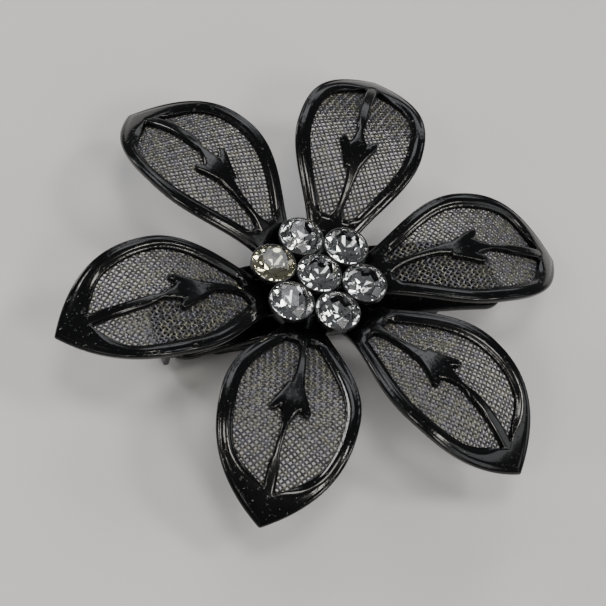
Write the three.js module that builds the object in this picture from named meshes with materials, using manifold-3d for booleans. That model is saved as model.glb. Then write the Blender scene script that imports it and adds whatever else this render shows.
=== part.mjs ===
// Flower hair clip: six enamelled petals with gauze panels and seven cup-set stones on a backing
// disc, riveted to an arched French barrette with a clasp arm, a spring bow and a squeeze latch.
// Millimetres. +Z is the flower's axis, +X runs along the barrette towards its hinge. The origin is
// on the clasp arm's flat underside, below the middle stone.
import * as THREE from 'three';
import { mergeVertices } from 'three/addons/utils/BufferGeometryUtils.js';
import Module from 'manifold-3d';

const wasm = await Module();
wasm.setup();

// ---- driving dimensions ----
const SEAT_GAP = 0.06; // between pieces that rest on or clamp each other
const RUN_GAP = 0.08; // radial clearance of a pin or rivet in its hole

const STONE_D = 5.6; // girdle diameter of a stone
const STONE_TABLE_D = 3.3;
const STONE_CROWN = 1.15; // girdle plane to table
const STONE_PAVILION = 2.05; // girdle plane to point
const STONE_GIRDLE = 0.16; // height of the girdle band
const CUP_WALL = 0.14;
const CUP_LIP = 0.1; // rim above the girdle plane
const CUP_COLLAR = 0.6; // depth of the straight part below the girdle plane
const CUP_FLOOR = 0.35;
const CUP_FOOT_D = 3.2;
const CUP_SEAT_R = 0.2; // flat at the bottom of the seat
const CUP_SPACING_GAP = 0.08; // between neighbouring cups
const STONE_COUNT = 6; // in the ring
const STONE_TURN = 35; // bearing of the first ring stone, degrees
const ROUND = 16; // sides of the stones and cups

const PETAL_ROOT_TUCK = 1.16; // a blade starts this far inside the ring of cups
const PETAL_LENGTH = 30.3; // along the blade, root to tip
const PETAL_ROOT_HALF = 3; // half-width at the root
const PETAL_BELLY_HALF = 8.7; // greatest half-width
const PETAL_BELLY_AT = 14.7; // distance from the root to the widest place
const PETAL_THICK = 1;
const PETAL_SINK = 2.4; // root's mid-surface below the girdle plane
const RIM_WIDTH = 1.9;
const RIB_ROOT_HALF = 0.4;
const RIB_TIP_HALF = 0.8;
const CREST_HALF = 2.4; // reach of the ornament's side barbs
const WINDOW_START = 3; // solid length at the root
const GAUZE_THICK = 0.3;
const GAUZE_INSET = 0.5;
const GAUZE_START = 1.6; // from the root
const TAB_THICK = 0.6;
const TAB_RIVET_GAP = 0.15; // between a tab's inner end and the rivet's head
const TAB_HALF_ANGLE = 27;
const TAB_SIDE_INSET = 0.2; // narrower than the blade's root on each side
const TAB_UNDER_BLADE = 0.9; // length of blade that the tab joins
// Each petal is set by hand: its bearing from +X and how far it is bent up, in degrees, and the
// distance from its root to the ornament's side barbs.
const PETAL_SET = [
  [58, 4, 13.6],
  [-1, -4.5, 14.6],
  [-60, -3, 13.8],
  [-119, -1.5, 15.2],
  [185, 6.5, 13.6],
  [117, -1.5, 13.6],
];

const DISC_R = 7.2;
const DISC_THICK = 0.8;
const RIVET_R = 1.1;
const RIVET_HEAD_REACH = 0.3; // head, collar and tail beyond the shank
const RIVET_COLLAR_REACH = 1.1;
const RIVET_TAIL_REACH = 0.7;
const RIVET_TAIL = 0.5;
const STANDOFF = 1.35; // backing disc above the crown of the barrette

const CLIP_X = 4; // middle of the barrette from the flower's axis
const CLIP_Y = 1.1;
const PLATE_LENGTH = 49;
const PLATE_WIDTH = 11.2;
const PLATE_THICK = 0.9;
const PLATE_RISE = 3.6; // height of the arch over its ends
const PLATE_CORNER = 4;
const PLATE_END_Z = 3.4; // underside of the plate's ends

const ARM_THICK = 0.9;
const ARM_WIDTH = 6;
const HINGE_FROM_END = 9;
const PIN_R = 0.6;
const EYE_WALL = 0.42; // metal round the pin hole of every hinge ear
const EYE_CLEAR = 0.15; // between the arm's ears and the plate's underside
const EAR_THICK = 0.7;
const EAR_GAP = 0.12; // between an arm ear and a plate ear
const EAR_ROOT_IN = 2.2; // plate ear's root edge, from the pin towards the latch
const EAR_ROOT_OUT = 1.4; // and away from it
const PIN_OVERHANG = 0.3;
const ARM_EAR_LENGTH = 4.2; // arm ear's root edge
const ARM_ROOT_IN = 0.4; // arm strip stops short of the pin axis
const ARM_END_IN = 1.6; // arm's free end from the plate's end
const ARM_STEP = 1.1; // rise of the arm's latched end
const ARM_STEP_RUN = 2;
const ARM_STEP_FLAT = 0.8; // flat strip between the window and the step
const LATCH_LENGTH = 3.1; // jaw length along the barrette
const ARM_BAR = 0.9; // end bar beyond the latch window
const RAIL_GAP = 0.15; // jaw to window rail
const HOOK = 0.34; // hook reach under a rail
const HOOK_THICK = 0.6;
const JAW_THICK = 0.5;
const JAW_RIVET_GAP = 0.2; // between a jaw and the latch rivet's tail
const LATCH_THICK = 0.5;
const BASE_TONGUE = 3.6; // base beyond the jaws, over the bow's tucked end
const BASE_JOG_AT = 0.8; // where the base starts to step down, from the jaws
const BASE_JOG_RUN = 0.5;
const PAD_LENGTH = 0.8; // finger pad along the barrette
const PAD_INSET = 1.8; // finger pad short of the plate's edge
const LATCH_RIVET_R = 0.8;
const LATCH_RIVET_REACH = 0.5; // head and tail beyond the shank
const LATCH_RIVET_HEAD = 0.35;
const LATCH_RIVET_TAIL = 0.3;

const BOW_SIDE_GAP = 0.2; // between the bow and the arm's ears
const BOW_THICK = 0.35;
const BOW_PAST_PIN = 0.9; // hinge-side end beyond the pin axis
const BOW_FROM_JAW = 1.5; // latch-side end from the jaws
const BOW_LIP = 2.4; // length of each tucked end
const BOW_CLEAR = 0.4; // lowest part of the bow above the arm

// ---- materials ----
function finish(color, roughness, metalness) {
  return () => new THREE.MeshStandardMaterial({ color, roughness, metalness });
}
const enamel = finish(0x0b0b0d, 0.16, 0.2);
const gauze = finish(0x101012, 0.5, 0.3);
const cupBlack = finish(0x141416, 0.25, 0.4);
const crystal = finish(0xe8ecee, 0.02, 0.1);
const steel = finish(0x8c8e92, 0.3, 0.9);
const blackSteel = finish(0x17181a, 0.3, 0.6);

// ---- solids ----
function toSolid(geometry) {
  const bare = geometry.clone();
  bare.deleteAttribute('normal');
  bare.deleteAttribute('uv');
  const merged = mergeVertices(bare, 1e-4);
  return new wasm.Manifold(
    new wasm.Mesh({
      numProp: 3,
      vertProperties: new Float32Array(merged.attributes.position.array),
      triVerts: new Uint32Array(merged.index.array),
    }),
  );
}

function toGeometry(solid) {
  const { vertProperties, triVerts } = solid.getMesh();
  const geometry = new THREE.BufferGeometry();
  geometry.setAttribute('position', new THREE.BufferAttribute(new Float32Array(vertProperties), 3));
  geometry.setIndex(new THREE.BufferAttribute(new Uint32Array(triVerts), 1));
  const flat = geometry.toNonIndexed();
  flat.computeVertexNormals();
  return flat;
}

// Points are [a, b] pairs. The outline lies in XY and is extruded from z0 to z1.
function plan(points, z0, z1) {
  const shape = new THREE.Shape(points.map(([a, b]) => new THREE.Vector2(a, b)));
  const geometry = new THREE.ExtrudeGeometry(shape, { depth: z1 - z0, bevelEnabled: false });
  geometry.translate(0, 0, z0);
  return toSolid(geometry);
}

// The outline lies in XZ and is extruded from y0 to y1.
function side(points, y0, y1) {
  const shape = new THREE.Shape(points.map(([a, b]) => new THREE.Vector2(a, b)));
  const geometry = new THREE.ExtrudeGeometry(shape, { depth: y1 - y0, bevelEnabled: false });
  geometry.rotateX(Math.PI / 2);
  geometry.translate(0, y1, 0);
  return toSolid(geometry);
}

function box(x0, x1, y0, y1, z0, z1) {
  const geometry = new THREE.BoxGeometry(x1 - x0, y1 - y0, z1 - z0);
  geometry.translate((x0 + x1) / 2, (y0 + y1) / 2, (z0 + z1) / 2);
  return toSolid(geometry);
}

// Profile points are [radius, z], from the axis round to the axis, or a closed loop off it.
function turned(profile, sides) {
  const points = profile.map(([r, z]) => new THREE.Vector2(r, z));
  const geometry = new THREE.LatheGeometry(points, sides);
  geometry.rotateX(Math.PI / 2);
  return toSolid(geometry);
}

function crossRod(x, z, radius, y0, y1, sides = 20) {
  const geometry = new THREE.CylinderGeometry(radius, radius, y1 - y0, sides);
  geometry.translate(x, (y0 + y1) / 2, z);
  return toSolid(geometry);
}

function upRod(x, y, radius, z0, z1, sides = 24) {
  const geometry = new THREE.CylinderGeometry(radius, radius, z1 - z0, sides);
  geometry.rotateX(Math.PI / 2);
  geometry.translate(x, y, (z0 + z1) / 2);
  return toSolid(geometry);
}

function roundedPlan(halfX, halfY, radius, z0, z1) {
  const points = [];
  const centres = [
    [halfX - radius, halfY - radius, 0],
    [radius - halfX, halfY - radius, 90],
    [radius - halfX, radius - halfY, 180],
    [halfX - radius, radius - halfY, 270],
  ];
  for (const [x, y, start] of centres) {
    for (let step = 0; step <= 5; step += 1) {
      const angle = THREE.MathUtils.degToRad(start + step * 18);
      points.push([x + radius * Math.cos(angle), y + radius * Math.sin(angle)]);
    }
  }
  return plan(points, z0, z1);
}

const group = new THREE.Group();

function place(parent, name, solid, material) {
  const mesh = new THREE.Mesh(toGeometry(solid), material());
  mesh.name = name;
  parent.add(mesh);
}

// ---- levels worked out from the driving dimensions ----
const plateTop = PLATE_END_Z + PLATE_RISE + PLATE_THICK;
const discBottom = plateTop + STANDOFF;
const discTop = discBottom + DISC_THICK;
const tabBottom = discTop + SEAT_GAP;
const tabTop = tabBottom + TAB_THICK;
const cupFoot = tabTop + SEAT_GAP;
const girdleZ = cupFoot + CUP_FLOOR + SEAT_GAP + STONE_PAVILION;
const cupRim = STONE_D / 2 + RUN_GAP / 4 + CUP_WALL;
const ringRadius = 2 * cupRim + CUP_SPACING_GAP;
const petalRootRho = ringRadius + cupRim - PETAL_ROOT_TUCK;
const rivetHeadR = RIVET_R + RIVET_HEAD_REACH;
const tabInner = rivetHeadR + TAB_RIVET_GAP;

const flower = new THREE.Group();
group.add(flower);

// ---- stones and cups, each about its own axis with the girdle plane at z = 0 ----
function stone() {
  const r = STONE_D / 2;
  const g = STONE_GIRDLE / 2;
  return turned(
    [
      [0, -STONE_PAVILION],
      [r, -g],
      [r, g],
      [STONE_TABLE_D / 2, STONE_CROWN],
      [0, STONE_CROWN],
    ],
    ROUND,
  );
}

function cup() {
  const inner = STONE_D / 2 + RUN_GAP / 4;
  const foot = cupFoot - girdleZ;
  const floor = foot + CUP_FLOOR;
  return turned(
    [
      [0, foot],
      [CUP_FOOT_D / 2, foot],
      [cupRim, -CUP_COLLAR],
      [cupRim, CUP_LIP],
      [inner, CUP_LIP],
      [inner, -STONE_GIRDLE / 2 - SEAT_GAP],
      [CUP_SEAT_R, floor],
      [0, floor],
    ],
    ROUND,
  );
}

function setStone(label, x, y) {
  const seat = new THREE.Group();
  seat.position.set(x, y, girdleZ);
  flower.add(seat);
  place(seat, `stone_cup_${label}`, cup(), cupBlack);
  place(seat, `rhinestone_${label}`, stone(), crystal);
}

setStone('centre', 0, 0);
for (let k = 0; k < STONE_COUNT; k += 1) {
  const angle = THREE.MathUtils.degToRad(STONE_TURN + (360 / STONE_COUNT) * k);
  setStone(k + 1, ringRadius * Math.cos(angle), ringRadius * Math.sin(angle));
}

// ---- petals ----
// The blade's middle line in XZ: it climbs from the root, crests a third of the way out, and droops.
function bladeLine(liftDegrees) {
  const lift = THREE.MathUtils.degToRad(liftDegrees);
  const root = new THREE.Vector2(petalRootRho, girdleZ - PETAL_SINK);
  const shares = [
    [0, 0],
    [0.42, 0.27],
    [0.75, 0.124],
    [0.918, -0.039],
  ];
  const controls = shares.map(([out, up]) => {
    const point = new THREE.Vector2(out * PETAL_LENGTH, up * PETAL_LENGTH);
    return point.rotateAround(new THREE.Vector2(), lift).add(root);
  });
  const curve = new THREE.CubicBezierCurve(...controls);
  curve.arcLengthDivisions = 400;
  return curve;
}

// Half the blade's outline as [distance along, half-width], root to tip, moved inwards by an inset.
function halfOutline(inset, start) {
  const belly = new THREE.Vector2(PETAL_BELLY_AT, PETAL_BELLY_HALF);
  const rising = new THREE.CubicBezierCurve(
    new THREE.Vector2(0, PETAL_ROOT_HALF),
    new THREE.Vector2(PETAL_BELLY_AT * 0.33, PETAL_ROOT_HALF + 1.6),
    new THREE.Vector2(PETAL_BELLY_AT * 0.62, PETAL_BELLY_HALF),
    belly,
  );
  const closing = new THREE.CubicBezierCurve(
    belly,
    new THREE.Vector2(PETAL_BELLY_AT + (PETAL_LENGTH - PETAL_BELLY_AT) * 0.32, PETAL_BELLY_HALF),
    new THREE.Vector2(PETAL_BELLY_AT + (PETAL_LENGTH - PETAL_BELLY_AT) * 0.66, PETAL_BELLY_HALF * 0.9),
    new THREE.Vector2(PETAL_LENGTH, 0),
  );
  const points = [];
  for (const [curve, count] of [[rising, 9], [closing, 11]]) {
    for (let step = 0; step < count; step += 1) {
      const at = curve.getPoint(step / (count - 1));
      const along = curve.getTangent(step / (count - 1));
      const moved = [at.x + along.y * inset, at.y - along.x * inset];
      if (moved[0] >= start && moved[1] > 0.05 && (step > 0 || curve === rising)) {
        points.push(moved);
      }
    }
  }
  if (points[0][0] > start + 0.2) {
    points.unshift([start, points[0][1]]);
  }
  const last = points[points.length - 1];
  const before = points[points.length - 2];
  const slope = (last[0] - before[0]) / (before[1] - last[1]);
  points.push([last[0] + last[1] * slope, 0]);
  return points;
}

function petal(liftDegrees, crestAt) {
  const line = bladeLine(liftDegrees);
  const length = line.getLength();
  const at = (s) => line.getPointAt(Math.min(Math.max(s / length, 0), 1));
  const toPlan = ([s, w]) => [at(s).x + Math.max(s - length, 0), w];
  const low = girdleZ - 15;
  const high = girdleZ + 15;

  // A sheet that follows the blade between two heights over its middle line.
  function sheet(bottom, top) {
    const steps = 20;
    const upper = [];
    const lower = [];
    for (let step = 0; step <= steps; step += 1) {
      const u = step / steps;
      const point = line.getPointAt(u);
      const along = line.getTangentAt(u);
      const extra = step === 0 ? -1 : Number(step === steps);
      const x = point.x + along.x * extra;
      const z = point.y + along.y * extra;
      upper.push([x - along.y * top, z + along.x * top]);
      lower.push([x - along.y * bottom, z + along.x * bottom]);
    }
    const across = PETAL_BELLY_HALF + 2;
    return side([...lower, ...upper.reverse()], -across, across);
  }

  function drop(inset, start) {
    const half = halfOutline(inset, start).map(toPlan);
    const other = half.slice(0, -1).map(([x, y]) => [x, -y]);
    return plan([...other, ...half.reverse()], low, high);
  }

  function mirroredStrip(points) {
    const half = points.map(toPlan);
    const other = half.map(([x, y]) => [x, -y]);
    return plan([...other, ...half.reverse()], low, high);
  }

  const rib = mirroredStrip([
    [1, RIB_ROOT_HALF],
    [crestAt - 4, RIB_ROOT_HALF],
    [crestAt - 1.8, CREST_HALF * 0.3],
    [crestAt - 0.9, CREST_HALF * 0.62],
    [crestAt, CREST_HALF],
    [crestAt + 0.8, CREST_HALF * 0.48],
    [crestAt + 2.2, RIB_ROOT_HALF + 0.1],
    [PETAL_LENGTH - 1.2, RIB_TIP_HALF],
  ]);
  const blade = drop(0, 0).subtract(drop(RIM_WIDTH, WINDOW_START)).add(rib);
  const frame = blade.intersect(sheet(-PETAL_THICK / 2, PETAL_THICK / 2));

  const spread = Math.tan(THREE.MathUtils.degToRad(TAB_HALF_ANGLE));
  const tabHalf = PETAL_ROOT_HALF - TAB_SIDE_INSET;
  const tabOuter = at(TAB_UNDER_BLADE).x;
  const tab = plan(
    [
      [tabInner, -tabInner * spread],
      [tabHalf / spread, -tabHalf],
      [tabOuter, -tabHalf],
      [tabOuter, tabHalf],
      [tabHalf / spread, tabHalf],
      [tabInner, tabInner * spread],
    ],
    tabBottom,
    tabTop,
  );
  const gauzeTop = -PETAL_THICK / 2 - SEAT_GAP;
  const panel = drop(GAUZE_INSET, GAUZE_START).intersect(sheet(gauzeTop - GAUZE_THICK, gauzeTop));
  return { frame: frame.add(tab), panel };
}

PETAL_SET.forEach(([bearing, lift, crestAt], index) => {
  const seat = new THREE.Group();
  seat.rotation.z = THREE.MathUtils.degToRad(bearing);
  flower.add(seat);
  const { frame, panel } = petal(lift, crestAt);
  place(seat, `petal_frame_${index + 1}`, frame, enamel);
  place(seat, `petal_gauze_${index + 1}`, panel, gauze);
});

// ---- backing disc and centre rivet ----
const rivetHole = RIVET_R + RUN_GAP;
const disc = turned(
  [
    [rivetHole, discBottom],
    [DISC_R, discBottom],
    [DISC_R, discTop],
    [rivetHole, discTop],
    [rivetHole, discBottom],
  ],
  32,
);
place(flower, 'backing_disc', disc, blackSteel);

const plateRadius = (PLATE_LENGTH ** 2 / 4 + PLATE_RISE ** 2) / (2 * PLATE_RISE);
// Height of the plate's underside at a distance from its middle.
function plateUnder(x) {
  return PLATE_END_Z + PLATE_RISE - (plateRadius - Math.sqrt(plateRadius ** 2 - x ** 2));
}

const rivetTailR = RIVET_R + RIVET_TAIL_REACH;
const rivetCollarR = RIVET_R + RIVET_COLLAR_REACH;
const tailTop = plateUnder(CLIP_X + rivetTailR) - SEAT_GAP;
const rivetTop = tabTop - SEAT_GAP;
const rivet = turned(
  [
    [0, tailTop - RIVET_TAIL],
    [rivetTailR, tailTop - RIVET_TAIL],
    [rivetTailR, tailTop],
    [RIVET_R, tailTop],
    [RIVET_R, plateTop + SEAT_GAP],
    [rivetCollarR, plateTop + SEAT_GAP],
    [rivetCollarR, discBottom - SEAT_GAP],
    [RIVET_R, discBottom - SEAT_GAP],
    [RIVET_R, discTop + SEAT_GAP],
    [rivetHeadR, discTop + SEAT_GAP],
    [rivetHeadR, rivetTop],
    [0, rivetTop],
  ],
  24,
);
place(flower, 'centre_rivet', rivet, steel);

// ---- barrette, about its own middle ----
const clip = new THREE.Group();
clip.position.set(CLIP_X, CLIP_Y, 0);
group.add(clip);

const hingeX = PLATE_LENGTH / 2 - HINGE_FROM_END;
const pinHole = PIN_R + RUN_GAP;
const eyeR = pinHole + EYE_WALL; // rounded end of an ear
const hingeZ = plateUnder(hingeX) - eyeR - EYE_CLEAR;
const armHalf = ARM_WIDTH / 2;
const plateEar = armHalf + EAR_GAP; // inner face of a plate ear

function archSheet(bottom, top, x0, x1, steps) {
  const upper = [];
  const lower = [];
  for (let step = 0; step <= steps; step += 1) {
    const x = x0 + ((x1 - x0) * step) / steps;
    upper.push([x, plateUnder(x) + top]);
    lower.push([x, plateUnder(x) + bottom]);
  }
  return [...lower, ...upper.reverse()];
}

// An ear in XZ: a rounded eye about the pin, joined to a straight root edge.
function earOutline(rootX0, rootX1, rootZ, eyeUp) {
  const points = [];
  for (let step = 0; step <= 8; step += 1) {
    const angle = Math.PI * (step / 8);
    const z = eyeUp ? Math.sin(angle) : -Math.sin(angle);
    points.push([hingeX + eyeR * Math.cos(angle), hingeZ + eyeR * z]);
  }
  const root = [[rootX0, rootZ], [rootX1, rootZ]];
  return eyeUp ? [...root, ...points] : [...root, ...points].reverse();
}

function plate() {
  const half = PLATE_LENGTH / 2;
  const wide = PLATE_WIDTH / 2;
  const band = side(archSheet(0, PLATE_THICK, -half, half, 24), -wide, wide);
  let solid = band.intersect(roundedPlan(half, wide, PLATE_CORNER, 0, plateTop + 1));
  const earRoot = plateUnder(hingeX) + PLATE_THICK / 2;
  for (const sign of [-1, 1]) {
    const faces = [sign * plateEar, sign * (plateEar + EAR_THICK)].sort((a, b) => a - b);
    const outline = earOutline(hingeX - EAR_ROOT_IN, hingeX + EAR_ROOT_OUT, earRoot, false);
    solid = solid.add(side(outline, ...faces));
  }
  const latchRivetX = latchRivetAt();
  return solid
    .subtract(crossRod(hingeX, hingeZ, pinHole, -wide - 1, wide + 1))
    .subtract(upRod(-CLIP_X, -CLIP_Y, rivetHole, 0, plateTop + 2))
    .subtract(upRod(latchRivetX, 0, LATCH_RIVET_R + RUN_GAP, 0, plateTop + 2));
}

// ---- latch: a riveted base and two jaws that pass through the arm's window ----
const armEnd = -PLATE_LENGTH / 2 + ARM_END_IN;
const windowStart = armEnd + ARM_BAR;
const latchHeadR = LATCH_RIVET_R + LATCH_RIVET_REACH;
const jawInner = latchHeadR + JAW_RIVET_GAP;
const jawOuter = jawInner + JAW_THICK;
const windowHalf = jawOuter + RAIL_GAP;
const windowLength = LATCH_LENGTH + 2 * RAIL_GAP;
const jawStart = windowStart + RAIL_GAP;
const jawEnd = jawStart + LATCH_LENGTH;
const railUnder = ARM_STEP;
const hookTop = railUnder - SEAT_GAP;
const hookBottom = hookTop - HOOK_THICK;
const baseEnd = jawEnd + BASE_TONGUE;
const baseDrop = SEAT_GAP + LATCH_THICK; // base's lower face under the plate
const jawTop = plateUnder(armEnd) - baseDrop - SEAT_GAP;

function latchRivetAt() {
  return jawStart + LATCH_LENGTH / 2;
}

function latchBase() {
  const bowRoom = BOW_THICK + 2 * SEAT_GAP;
  const outline = [];
  const upper = [];
  const jog = jawEnd + BASE_JOG_AT;
  const stations = [armEnd, jawEnd, jog, jog + BASE_JOG_RUN, baseEnd];
  const drops = [0, 0, 0, bowRoom, bowRoom];
  stations.forEach((x, index) => {
    outline.push([x, plateUnder(x) - baseDrop - drops[index]]);
    upper.push([x, plateUnder(x) - SEAT_GAP - drops[index]]);
  });
  const hole = upRod(latchRivetAt(), 0, LATCH_RIVET_R + RUN_GAP, 0, plateTop);
  return side([...outline, ...upper.reverse()], -jawOuter, jawOuter).subtract(hole);
}

function latchJaw(sign) {
  const inner = sign * jawInner;
  const outer = sign * jawOuter;
  const span = (a, b) => [a, b].sort((p, q) => p - q);
  const padX = armEnd - RAIL_GAP - PAD_LENGTH;
  const barTop = ARM_STEP + ARM_THICK + RAIL_GAP;
  const leg = side(
    [
      [padX, barTop],
      [jawStart, barTop],
      [jawStart, hookBottom],
      [jawEnd, hookBottom],
      [jawEnd, jawTop],
      [padX, jawTop],
    ],
    ...span(inner, outer),
  );
  const hook = box(
    jawStart,
    jawEnd,
    ...span(inner, sign * (windowHalf + HOOK)),
    hookBottom,
    hookTop,
  );
  const padTip = sign * (PLATE_WIDTH / 2 - PAD_INSET);
  const pad = box(padX, padX + PAD_LENGTH, ...span(inner, padTip), hookTop, jawTop);
  return leg.add(hook).add(pad);
}

function latchRivet() {
  const x = latchRivetAt();
  const top = plateUnder(x + latchHeadR) + PLATE_THICK + SEAT_GAP;
  const bottom = plateUnder(x - latchHeadR) - baseDrop - SEAT_GAP;
  const solid = turned(
    [
      [0, bottom - LATCH_RIVET_TAIL],
      [latchHeadR, bottom - LATCH_RIVET_TAIL],
      [latchHeadR, bottom],
      [LATCH_RIVET_R, bottom],
      [LATCH_RIVET_R, top],
      [latchHeadR, top],
      [latchHeadR * 0.7, top + LATCH_RIVET_HEAD],
      [0, top + LATCH_RIVET_HEAD],
    ],
    20,
  );
  return solid.translate([x, 0, 0]);
}

// ---- clasp arm ----
function claspArm() {
  const rootX = hingeX - ARM_ROOT_IN;
  const stepTop = armEnd + ARM_BAR + windowLength + ARM_STEP_FLAT;
  const stepFoot = stepTop + ARM_STEP_RUN;
  const strip = side(
    [
      [stepFoot, 0],
      [rootX, 0],
      [rootX, ARM_THICK],
      [stepFoot, ARM_THICK],
      [stepTop, ARM_STEP + ARM_THICK],
      [armEnd, ARM_STEP + ARM_THICK],
      [armEnd, ARM_STEP],
      [stepTop, ARM_STEP],
    ],
    -armHalf,
    armHalf,
  );
  let solid = strip;
  for (const sign of [-1, 1]) {
    const faces = [sign * armHalf, sign * (armHalf - EAR_THICK)].sort((a, b) => a - b);
    const outline = earOutline(rootX - ARM_EAR_LENGTH, rootX, ARM_THICK / 2, true);
    solid = solid.add(side(outline, ...faces));
  }
  const rails = box(windowStart, windowStart + windowLength, -windowHalf, windowHalf, -1, 4);
  return solid.subtract(crossRod(hingeX, hingeZ, pinHole, -armHalf - 1, armHalf + 1)).subtract(rails);
}

function hingePin() {
  const half = plateEar + EAR_THICK + PIN_OVERHANG;
  return crossRod(hingeX, hingeZ, PIN_R, -half, half);
}

// ---- spring bow: bends down from its tucked ends towards the arm ----
function springBow() {
  const bowHalf = armHalf - EAR_THICK - BOW_SIDE_GAP;
  const hingeEnd = hingeX + BOW_PAST_PIN;
  const latchEnd = jawEnd + BOW_FROM_JAW;
  const lipMiddle = SEAT_GAP + BOW_THICK / 2;
  const lowest = ARM_THICK + BOW_CLEAR + BOW_THICK / 2;
  const bendHinge = hingeEnd - BOW_LIP;
  const bendLatch = latchEnd + BOW_LIP;
  const middle = (bendHinge + bendLatch) / 2;
  const reach = (bendHinge - bendLatch) / 2;
  const heights = (x) => plateUnder(x) - lipMiddle;
  const line = [[latchEnd, heights(latchEnd)]];
  const steps = 22;
  for (let step = 0; step <= steps; step += 1) {
    const x = bendLatch + (2 * reach * step) / steps;
    const end = heights(x < middle ? bendLatch : bendHinge);
    const share = Math.abs((x - middle) / reach) ** 2;
    line.push([x, lowest + (end - lowest) * share]);
  }
  line.push([hingeEnd, heights(hingeEnd)]);
  const lower = line.map(([x, z]) => [x, z - BOW_THICK / 2]);
  const upper = line.map(([x, z]) => [x, z + BOW_THICK / 2]);
  return side([...lower, ...upper.reverse()], -bowHalf, bowHalf);
}

place(clip, 'barrette_plate', plate(), enamel);
place(clip, 'hinge_pin', hingePin(), steel);
place(clip, 'clasp_arm', claspArm(), blackSteel);
place(clip, 'spring_bow', springBow(), blackSteel);
place(clip, 'latch_base', latchBase(), blackSteel);
place(clip, 'latch_jaw_front', latchJaw(-1), blackSteel);
place(clip, 'latch_jaw_back', latchJaw(1), blackSteel);
place(clip, 'latch_rivet', latchRivet(), steel);

export default group;
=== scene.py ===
"""Flower hair clip: enamelled petals with woven gauze, foil-backed stones in black cups, and the
arched barrette beneath with its clasp arm, spring bow and squeeze latch.

Shapes are worked out in millimetres: stones and cups about their own axes, petals along +X from the
flower's axis, the barrette about its plate's middle. They are turned, shifted and scaled to metres
when a mesh is made. Surfaces come as shells: a table of points and the faces that join them."""
import math

import bmesh
import bpy
import numpy as np
from mathutils import Matrix, Vector


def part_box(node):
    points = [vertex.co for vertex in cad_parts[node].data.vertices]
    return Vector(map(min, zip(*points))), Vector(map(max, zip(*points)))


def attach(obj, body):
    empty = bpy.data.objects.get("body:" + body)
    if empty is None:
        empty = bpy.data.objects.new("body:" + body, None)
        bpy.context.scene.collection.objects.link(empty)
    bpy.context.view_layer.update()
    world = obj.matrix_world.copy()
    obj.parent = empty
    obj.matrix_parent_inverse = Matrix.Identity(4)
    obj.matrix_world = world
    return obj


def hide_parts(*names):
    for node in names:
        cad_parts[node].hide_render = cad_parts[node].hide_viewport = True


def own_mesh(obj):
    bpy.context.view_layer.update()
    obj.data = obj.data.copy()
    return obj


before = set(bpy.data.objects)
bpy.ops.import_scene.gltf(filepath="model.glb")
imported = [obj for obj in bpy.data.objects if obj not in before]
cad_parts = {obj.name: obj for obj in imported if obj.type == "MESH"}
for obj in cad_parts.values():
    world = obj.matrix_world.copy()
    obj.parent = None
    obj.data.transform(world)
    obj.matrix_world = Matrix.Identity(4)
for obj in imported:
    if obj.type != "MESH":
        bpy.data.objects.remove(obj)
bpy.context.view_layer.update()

MM = 0.001

# ---- sizes of the flower, in millimetres, and its angles, in degrees ----
STONE_R = 2.8
STONE_TABLE_R = 1.65
STONE_CROWN = 1.15
STONE_PAVILION = 2.05
STONE_GIRDLE = 0.16
CUP_R = 2.96
CUP_WALL = 0.14
CUP_LIP = 0.1
CUP_COLLAR = 0.6
CUP_FLOOR = 0.35
CUP_FOOT_R = 1.6
CUP_SEAT_END_R = 0.25
RING_R = 6.0
STONE_TURN = 35.0
GIRDLE_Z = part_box("rhinestone_centre")[1].z / MM - STONE_CROWN
CUP_FOOT_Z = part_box("stone_cup_centre")[0].z / MM

PETAL_ROOT_RHO = 7.8
PETAL_LENGTH = 30.3
PETAL_ROOT_HALF = 3.0
PETAL_BELLY_HALF = 8.7
PETAL_BELLY_AT = 14.7
PETAL_HALF_THICK = 0.5
PETAL_SINK = 2.4
RIM_WIDTH = 2.0
RIM_TIP_GROWTH = 0.6
RIM_CROWN = 0.98
WINDOW_START = 3.0
TAB_INNER = 1.55
TAB_HALF = 2.8
TAB_ANGLE = 27.0
TAB_OVERLAP = 0.9
GAUZE_DEPTH = 0.71
GAUZE_INSET = 0.7
GAUZE_START = 1.9
GAUZE_PITCH = 0.56
WIRE_R = 0.14
# for each petal: bearing, lift, distance to the crest, sideways bend of the rib, length of its slim
# neck beyond the crest, slant of the gauze's weave
PETALS = [
    (58.0, 4.0, 13.6, 0.5, 2.6, 31.0),
    (-1.0, -4.5, 14.6, -0.6, 4.5, 40.0),
    (-60.0, -3.0, 13.8, 0.5, 3.5, 24.0),
    (-119.0, -1.5, 15.2, -0.4, 6.2, 52.0),
    (185.0, 6.5, 13.6, 0.5, 3.0, 37.0),
    (117.0, -1.5, 13.6, -0.6, 2.6, 63.0),
]

# ---- sizes of the barrette, in millimetres ----
CLIP = np.array((4.0, 1.1, 0.0))
PLATE_HALF = 24.5
PLATE_WIDE = 5.6
PLATE_THICK = 0.9
PLATE_RISE = 3.6
PLATE_CORNER = 4.0
PLATE_END_Z = 3.4
PLATE_RADIUS = (PLATE_HALF**2 + PLATE_RISE**2) / (2 * PLATE_RISE)
HINGE_X = 15.5
HINGE_Z = (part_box("hinge_pin")[0].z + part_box("hinge_pin")[1].z) / 2 / MM
PIN_R = 0.6
PIN_HOLE = 0.68
EYE_R = 1.1
EAR_THICK = 0.7
ARM_HALF = 3.0
ARM_THICK = 0.9
ARM_END = -22.9
ARM_STEP = 1.1
EAR_GAP = 0.12
SEAT_GAP = 0.06
RIVET_HOLE_R = 1.18
DISC_R = 7.2


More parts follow.
